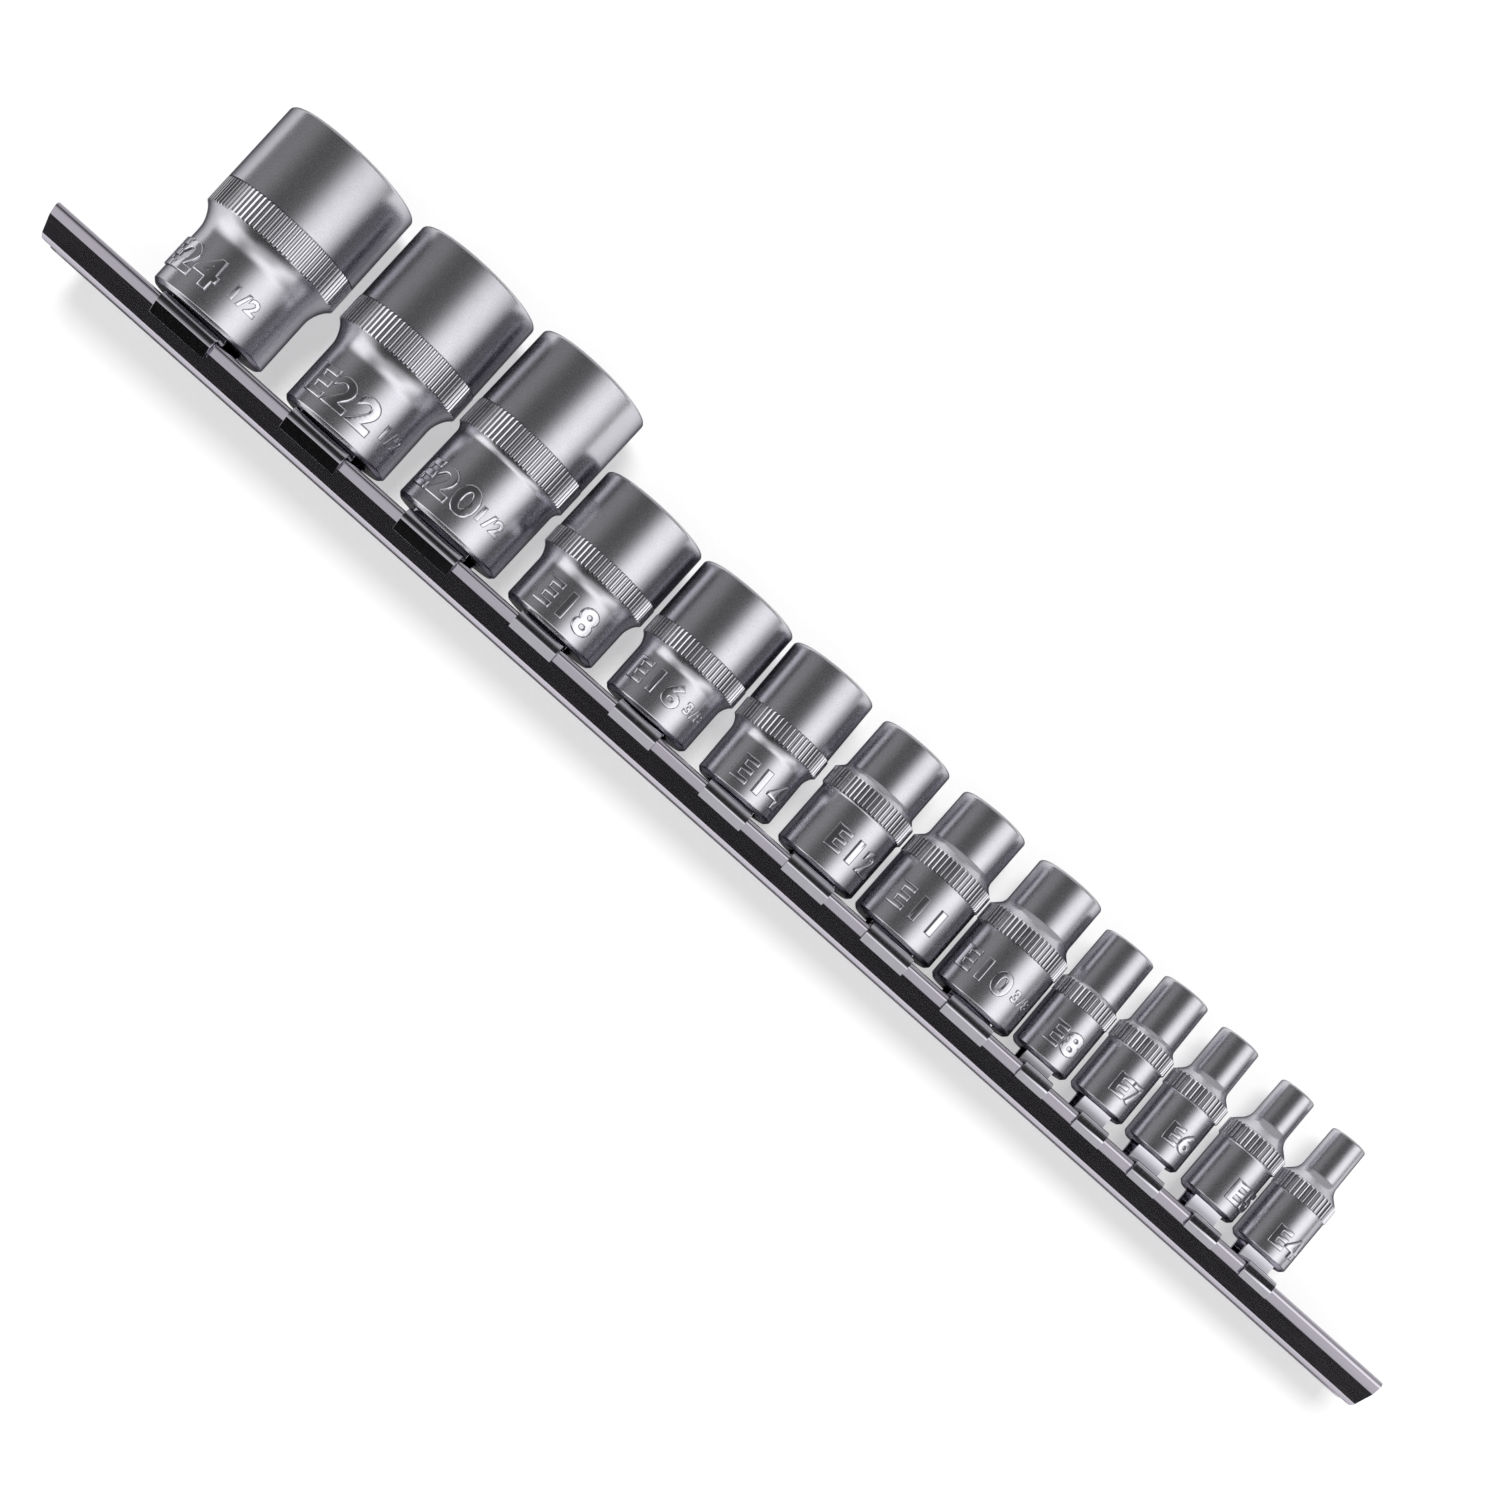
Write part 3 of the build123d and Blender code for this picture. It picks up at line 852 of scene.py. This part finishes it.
for name in sizes:
    drive = drive_of(name)
    foot = Vector(mounts["drive_" + name]["pos_m"])
    place = placed(Vector((foot.x, rail_top, foot.z)), along_row, towards_mouths)
    strip = bent_strip(clip_line(drive), clip_widths[drive], clip_thicknesses[drive], eased=0.06)
    clip = finish_piece(strip, name + "_clip", place, "clip_" + name, spring_steel)
    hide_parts("clip_" + name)
print("clips:", len(sizes))

# %% [markdown]
# ## The table
#
# The row lies on a plain table covered in white paper. A flat grid is all
# that it needs, wide enough that its edge is far from the row.

# %% Build the table
table_half = 1.6
table = bpy.data.meshes.new("table")
top = bmesh.new()
bmesh.ops.create_grid(top, x_segments=8, y_segments=8, size=table_half)
top.to_mesh(table)
top.free()
floor = bpy.data.objects.new("table", table)
bpy.context.scene.collection.objects.link(floor)
print("table:", 2 * table_half, "m wide")

# %% [markdown]
# ### The paper
#
# The paper has to look white and still show the row's soft shadow. More light
# would do the first, but it would wash out the second. So the paper glows a
# little instead, and only for the rays that come straight from the camera,
# from a reflection or through something clear. That makes the table as white
# in the chrome as it is to the eye, and leaves the shadow on it. The fibres
# are drawn coarser than they are, at 0.8 mm, and differ very little in colour.

# %% Paper of the table
fibre_mm = 0.8
glow_share = 0.42
paper, tree = empty_material("table_paper")
place = add_node(tree, "ShaderNodeTexCoord", {}, {})
fibre = add_node(tree, "ShaderNodeTexNoise", {}, {
    "Vector": place.outputs["Object"], "Scale": 1 / (fibre_mm * MM), "Detail": 3.0})
shade = add_node(tree, "ShaderNodeMix", {"data_type": "RGBA"}, {
    MIX_FACTOR: fibre.outputs["Fac"], MIX_FIRST: tint("#FEFEFE"), MIX_SECOND: tint("#FCFCFC")})
matt = add_node(tree, "ShaderNodeBsdfPrincipled", {}, {
    "Base Color": shade.outputs[MIX_RESULT], "Roughness": 0.9, "Specular IOR Level": 0.0})
glow = add_node(tree, "ShaderNodeEmission", {}, {
    "Color": shade.outputs[MIX_RESULT], "Strength": 1.0})
path = add_node(tree, "ShaderNodeLightPath", {}, {})
seen_or_mirrored = add_node(tree, "ShaderNodeMath", {"operation": "MAXIMUM"}, {
    0: path.outputs["Is Camera Ray"], 1: path.outputs["Is Glossy Ray"]})
seen_at_all = add_node(tree, "ShaderNodeMath", {"operation": "MAXIMUM"}, {
    0: seen_or_mirrored.outputs["Value"], 1: path.outputs["Is Transmission Ray"]})
lift = add_node(tree, "ShaderNodeMath", {"operation": "MULTIPLY"}, {
    0: seen_at_all.outputs["Value"], 1: glow_share})
white = add_node(tree, "ShaderNodeMixShader", {}, {
    0: lift.outputs["Value"], 1: matt.outputs["BSDF"], 2: glow.outputs["Emission"]})
add_node(tree, "ShaderNodeOutputMaterial", {}, {"Surface": white.outputs["Shader"]})
table.materials.append(paper)
print("table finish:", paper.name)

# %% [markdown]
# ## The room
#
# Chrome shows only what it mirrors, so a photographer lights it with large
# soft surfaces. Lamps could stand for them, but every change would mean moving
# several at once. The room is painted on the world instead, as a grey for each
# direction in which a reflection looks.
#
# A direction's X picks a place on a row of greys, from the left wall at -1 to
# the right wall at 1. The row overhead gives the barrels of the sockets a
# bright panel on the right and a dark ceiling left of it. The neck lamps are
# what their necks mirror. The dark gaps give the folds of the clips and the
# lower facet of the rail their dark lines.

# %% Rows of greys: place across the room, and grey
dark_gap = [(-1.0, 0.015), (1.0, 0.015)]
low_wall = [(-1.0, 0.3), (-0.75, 0.5), (-0.55, 0.4), (-0.43, 0.005), (-0.16, 0.005),
            (-0.04, 0.2), (0.35, 0.3), (0.55, 0.5), (1.0, 0.3)]
near_wall = [(-1.0, 0.4), (-0.78, 0.9), (-0.6, 0.8), (-0.4, 0.42), (0.48, 0.42),
             (0.58, 0.85), (0.7, 0.9), (0.95, 0.1)]
neck_lamps = [(-1.0, 0.7), (-0.93, 0.95), (-0.68, 0.9), (-0.52, 0.4), (-0.4, 0.2),
              (-0.2, 0.35), (0.05, 0.8), (0.3, 0.95), (0.65, 0.95), (0.85, 0.5), (0.97, 0.05)]
overhead = [(-1.0, 0.12), (-0.9, 0.17), (-0.75, 0.15), (-0.55, 0.07), (-0.35, 0.04),
            (0.06, 0.05), (0.2, 0.15), (0.36, 0.42), (0.52, 0.78), (0.7, 0.97), (0.84, 0.95),
            (0.93, 0.68), (0.975, 0.3), (1.0, 0.05)]
far_wall = [(-1.0, 0.3), (1.0, 0.3)]
rows = [dark_gap, low_wall, near_wall, neck_lamps, overhead, dark_gap, far_wall]
print("rows of greys:", len(rows))

# %% [markdown]
# The direction's Y picks the row. The rows stand in order from the side of
# the drive ends to the side of the mouths, and each gives way to the next
# between two values of Y. That stretch is the soft edge of a lamp or a wall,
# and a smooth step crosses it.

# %% Paint the room
edges = [(-0.86, -0.80), (-0.73, -0.67), (-0.56, -0.42), (-0.34, 0.0), (0.255, 0.28),
         (0.345, 0.37)]
world = bpy.data.worlds.new("room")
bpy.context.scene.world = world
world.use_nodes = True
tree = world.node_tree
tree.nodes.clear()
direction = add_node(tree, "ShaderNodeTexCoord", {}, {})
parts = add_node(tree, "ShaderNodeSeparateXYZ", {}, {"Vector": direction.outputs["Generated"]})
across = add_node(tree, "ShaderNodeMapRange", {}, {
    "Value": parts.outputs["X"], "From Min": -1.0, "From Max": 1.0})
painted = []
for row in rows:
    walls = add_node(tree, "ShaderNodeValToRGB", {}, {"Fac": across.outputs["Result"]})
    ramp = walls.color_ramp
    while len(ramp.elements) < len(row):
        ramp.elements.new(0.5)
    for element, (place, grey) in zip(ramp.elements, row):
        element.position = (place + 1) / 2
        element.color = (grey, grey, grey, 1)
    painted.append(walls.outputs["Color"])
room = painted[0]
for next_row, (start, end) in zip(painted[1:], edges):
    step = add_node(tree, "ShaderNodeMapRange", {"interpolation_type": "SMOOTHSTEP"}, {
        "Value": parts.outputs["Y"], "From Min": start, "From Max": end})
    room = add_node(tree, "ShaderNodeMix", {"data_type": "RGBA"}, {
        MIX_FACTOR: step.outputs["Result"], MIX_FIRST: room,
        MIX_SECOND: next_row}).outputs[MIX_RESULT]
light = add_node(tree, "ShaderNodeBackground", {}, {"Color": room, "Strength": 1.6})
add_node(tree, "ShaderNodeOutputWorld", {}, {"Surface": light.outputs["Background"]})
print("soft edges between the rows:", len(edges))

# %% [markdown]
# ## The lamp
#
# The chrome has its light from the room and the table. The one lamp is there
# for the table: a sun whose disc is 24 degrees wide, so that the shadow it
# throws is soft. The chrome would mirror that disc as a second highlight, so
# the lamp is hidden from glossy rays.

# %% Set up the lamp
lamp = bpy.data.lights.new("soft_lamp", "SUN")
lamp.energy = 2.1
lamp.angle = radians(24)
lamp_object = bpy.data.objects.new("soft_lamp", lamp)
towards_lamp = Vector((-0.1, 0.38, 0.92)).normalized()
lamp_object.rotation_euler = towards_lamp.to_track_quat("Z", "Y").to_euler()
lamp_object.visible_glossy = False
bpy.context.scene.collection.objects.link(lamp_object)
bpy.context.scene.view_settings.view_transform = "Standard"
print("lamp energy:", lamp.energy)

# %% [markdown]
# ## Camera
#
# The camera looks down on the row from about a third of a metre, turned so
# that the row runs from the upper left to the lower right. Its place, its
# turn and its lens could be found by eye, but they follow from the sockets'
# known widths and lengths, as a surveyor finds where a photograph was taken.

# %% Set up the camera
sensor_mm = 36
frame_px = 1500
focal_px = 1847.4
camera_place_mm = Vector((6.191, -40.936, 326.297))
right = Vector((0.747219, 0.662357, 0.053378))
up = Vector((-0.664113, 0.741611, 0.094178))
camera = bpy.data.cameras.new("camera")
camera.sensor_width = sensor_mm
camera.lens = sensor_mm * focal_px / frame_px
camera.clip_start = 0.01
camera_object = bpy.data.objects.new("camera", camera)
bpy.context.scene.collection.objects.link(camera_object)
camera_turn = Matrix((right, up, right.cross(up))).transposed().to_4x4()
camera_object.matrix_world = Matrix.Translation(camera_place_mm * MM) @ camera_turn
bpy.context.scene.camera = camera_object
print("lens in mm:", round(camera.lens, 2))
